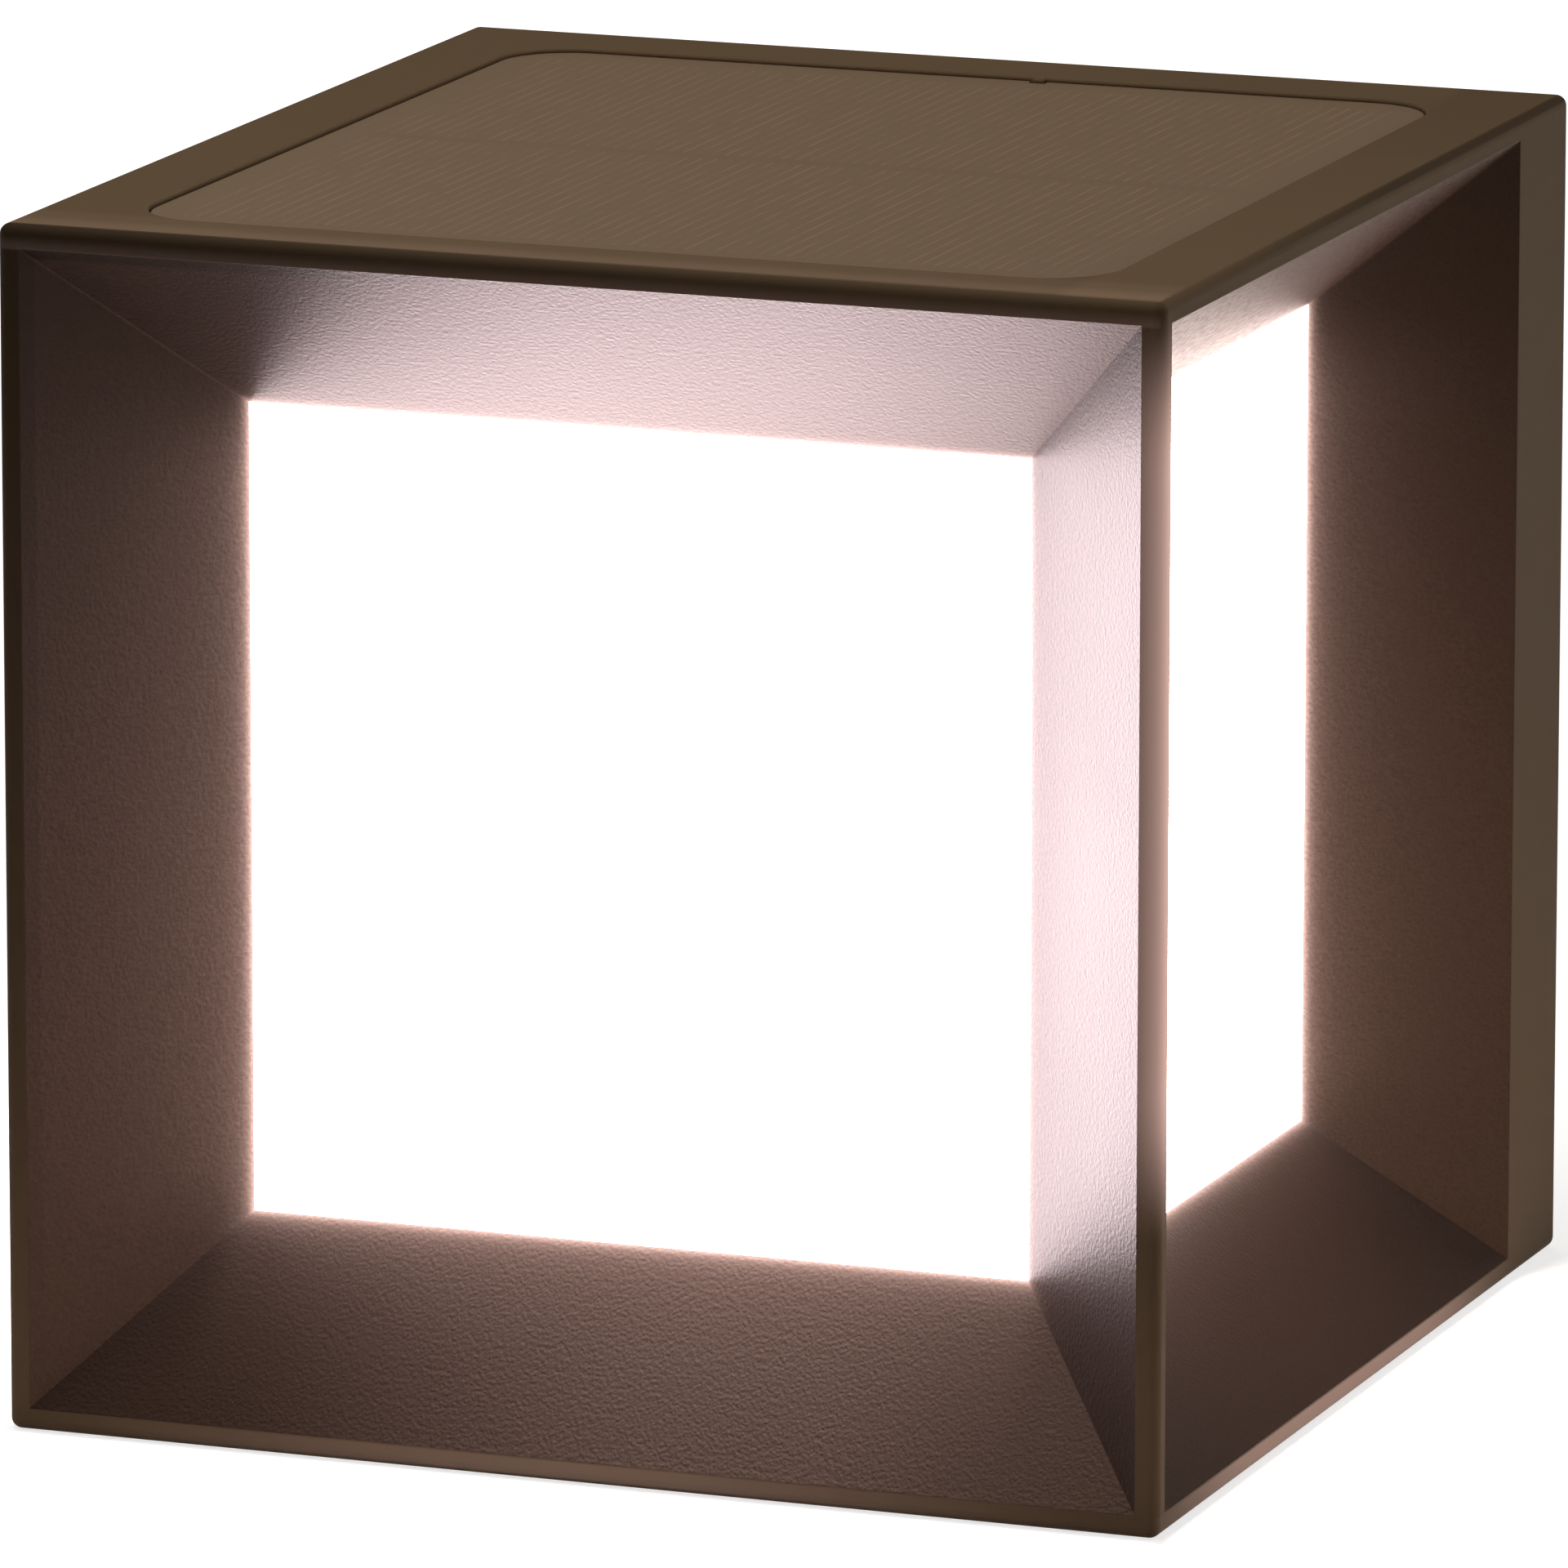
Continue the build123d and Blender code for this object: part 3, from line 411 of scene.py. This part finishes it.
# smaller and inner pieces: tint, roughness, metal, grain size, grain depth and the pieces that wear it
finishes = {
    "buttonPlastic": (rgb(48, 40, 34), 0.45, 0.0, 0.0003, 0.000006, ["power_button"]),
    "whitePlastic": (rgb(236, 236, 232), 0.4, 0.0, 0.0006, 0.00001, ["reflector_tray"]),
    "silicon": (rgb(40, 34, 32), 0.25, 0.0, 0.0012, 0.000003, ["solar_cells"]),
    "bareLaminate": (rgb(74, 58, 46), 0.55, 0.0, 0.0005, 0.00001, ["solar_substrate"]),
    "foamTape": (rgb(58, 46, 38), 0.9, 0.0, 0.0004, 0.00006, ["solar_adhesive"]),
    "silicone": (rgb(34, 34, 34), 0.6, 0.0, 0.0006, 0.00001,
                 ["solar_grommet", "button_seal", "cover_gasket"]),
    "redInsulation": (rgb(168, 28, 22), 0.4, 0.0, 0.0008, 0.000006,
                      ["solar_lead_red", "battery_lead_red", "led_lead_red"]),
    "blackInsulation": (rgb(22, 22, 22), 0.4, 0.0, 0.0008, 0.000006,
                        ["solar_lead_black", "battery_lead_black", "led_lead_black"]),
    "whiteBoard": (rgb(232, 232, 226), 0.4, 0.0, 0.0007, 0.00001, ["led_board"]),
    "ledPackage": (rgb(240, 226, 150), 0.3, 0.0, 0.0004, 0.000004, ["leds"]),
    "greenBoard": (rgb(22, 84, 48), 0.35, 0.0, 0.0007, 0.00001, ["control_board"]),
    "chipResin": (rgb(26, 26, 27), 0.6, 0.0, 0.0003, 0.00001, ["board_chips"]),
    "ferrite": (rgb(46, 46, 50), 0.55, 0.0, 0.0003, 0.000015, ["board_coil"]),
    "drawnCan": (rgb(200, 200, 204), 0.3, 1.0, 0.0004, 0.000003, ["board_capacitors"]),
    "nylon": (rgb(226, 222, 206), 0.45, 0.0, 0.0005, 0.000008, ["lead_sockets", "lead_plugs"]),
    "switchBody": (rgb(32, 32, 33), 0.5, 0.0, 0.0004, 0.00001, ["power_switch"]),
    "acetal": (rgb(222, 222, 216), 0.35, 0.0, 0.0005, 0.000006, ["switch_plunger"]),
    "cellWrap": (rgb(38, 84, 130), 0.3, 0.0, 0.0012, 0.00001, ["battery_cell"]),
    "nickel": (rgb(196, 190, 178), 0.3, 1.0, 0.0004, 0.000004, ["battery_terminals"]),
    "zincSteel": (rgb(178, 178, 180), 0.35, 1.0, 0.0004, 0.000006,
                  ["battery_clamp", "tray_screws", "led_screws", "board_screws", "clamp_screws"]),
    "stainless": (rgb(168, 168, 168), 0.32, 1.0, 0.0003, 0.000004, ["cover_screws"]),
}
# how uneven these finishes are: lowest value and spread
unevenness = {"cloudScale": 120.0, "shade": (0.88, 0.24), "roughness": (-0.06, 0.12)}
# painted shade in the driver slots of the cover screws, below the surface of the heads
driverSlotShade = {"depth": (0.0003, 0.0006), "dark": 0.85}


def plainFinish(name):
    tint, roughness, metal, size, depth, _ = finishes[name]
    material, start = newMaterial(name)
    place, (_, y, _) = objectPlace(start)
    grain = noise(place, 1 / size, detail=2.0)
    cloud = noise(place, unevenness["cloudScale"], detail=3.0)
    darkest, spread = unevenness["shade"]
    shade = darkest + cloud * spread
    # painted shade in the driver slots, below the surface of the heads
    if name == "stainless":
        shade = shade * (1 - (back - y).rise(*driverSlotShade["depth"]) * driverSlotShade["dark"])
    smoothest, drift = unevenness["roughness"]
    output(start.node("BsdfPrincipled", None, {
        "Base Color": shade.shaded(tint), "Roughness": roughness + smoothest + cloud * drift,
        "Metallic": metal, "Normal": bumpFrom(grain * depth)}))
    return material


dress(mouldedPlastic(), "housing", "back_cover")
dress(opalPlastic(), "diffuser_box")
dress(solarSheet(), "solar_cover")
for finish, (*_, wearers) in finishes.items():
    dress(plainFinish(finish), *wearers)
print("finishes:", len(bpy.data.materials))

# camera, fitted to the edges in the photograph: metres, degrees and millimetres
camera = {
    "place": (0.65520, -1.75540, 0.47962), "turn": (77.7043, -0.0503, 20.5442),
    "lens": 351.1, "sensor": 36.0, "farthest": 100.0,
}
eye = bpy.data.objects.new("eye", bpy.data.cameras.new("eye"))
bpy.context.scene.collection.objects.link(eye)
eye.location = camera["place"]
eye.rotation_euler = [math.radians(angle) for angle in camera["turn"]]
eye.data.lens = camera["lens"]
eye.data.sensor_width = camera["sensor"]
eye.data.clip_end = camera["farthest"]
bpy.context.scene.camera = eye
print("camera:", camera["lens"], "mm lens")

# pale floor, white to the camera except in the lamp's own shadow
floor = {"half": 6.0, "tint": (0.5, 0.5, 0.5, 1.0), "lift": 0.72, "farLift": 0.29, "far": (0.2, 1.5)}


def paleFloor():
    material, start = newMaterial("paleFloor")
    direct, glossy, clear = [start.node("LightPath", out=name) for name in
                             ("Is Camera Ray", "Is Glossy Ray", "Is Transmission Ray")]
    seen = direct.most(glossy).most(clear)
    place, _ = objectPlace(start)
    away = start.node("VectorMath", {"operation": "LENGTH"}, {0: place}, "Value")
    level = seen * (floor["lift"] + away.rise(*floor["far"]) * floor["farLift"])
    dull = start.node("BsdfDiffuse", None, {"Color": floor["tint"]})
    lift = start.node("Emission", None, {"Color": white, "Strength": level})
    output(start.node("AddShader", None, {0: dull, 1: lift}))
    return material


half = floor["half"]
corners = [(-half, -half, 0), (half, -half, 0), (half, half, 0), (-half, half, 0)]
sheet = bpy.data.meshes.new("floor")
sheet.from_pydata(corners, [], [(0, 1, 2, 3)])
ground = bpy.data.objects.new("floor", sheet)
bpy.context.scene.collection.objects.link(ground)
sheet.materials.append(paleFloor())
print("floor:", 2 * half, "m wide")

# soft studio light: low surround, a panel overhead and two behind
surround = {"level": 0.12, "tint": (1.0, 0.76, 0.66, 1.0)}
world = bpy.data.worlds.new("surround")
bpy.context.scene.world = world
world.use_nodes = True
world.node_tree.nodes.clear()
sky = Wire(world.node_tree).node("Background", None, {
    "Color": surround["tint"], "Strength": surround["level"]})
sky.node("OutputWorld", None, {"Surface": sky})

lightTint = (1.0, 0.98, 0.9)
softLights = {
    "overhead": {"place": (-0.1, -0.07, 0.64), "aim": (-0.05, -0.04, 0.15), "size": 0.3, "power": 1.98,
                 "mirrored": True},
    "rearRight": {"place": (1.3, 0.9, 0.6), "aim": (0.0, 0.0, 0.08), "size": 0.9, "power": 6.5,
                  "mirrored": True},
    "rearLeft": {"place": (-0.9, 1.3, 0.5), "aim": (0.0, 0.0, 0.08), "size": 0.9, "power": 10.0,
                 "mirrored": False},
}
for name, soft in softLights.items():
    light = bpy.data.lights.new(name, "AREA")
    light.size = soft["size"]
    light.energy = soft["power"]
    light.color = lightTint
    stand = bpy.data.objects.new(name, light)
    bpy.context.scene.collection.objects.link(stand)
    stand.location = soft["place"]
    stand.visible_camera = False
    stand.visible_glossy = soft["mirrored"]
    reach = [aim - place for aim, place in zip(soft["aim"], soft["place"])]
    flat = math.hypot(reach[0], reach[1])
    stand.rotation_euler = (math.atan2(flat, -reach[2]), 0.0, math.atan2(-reach[0], reach[1]))
print("lights:", len(softLights))

bpy.context.scene.view_settings.view_transform = "Standard"
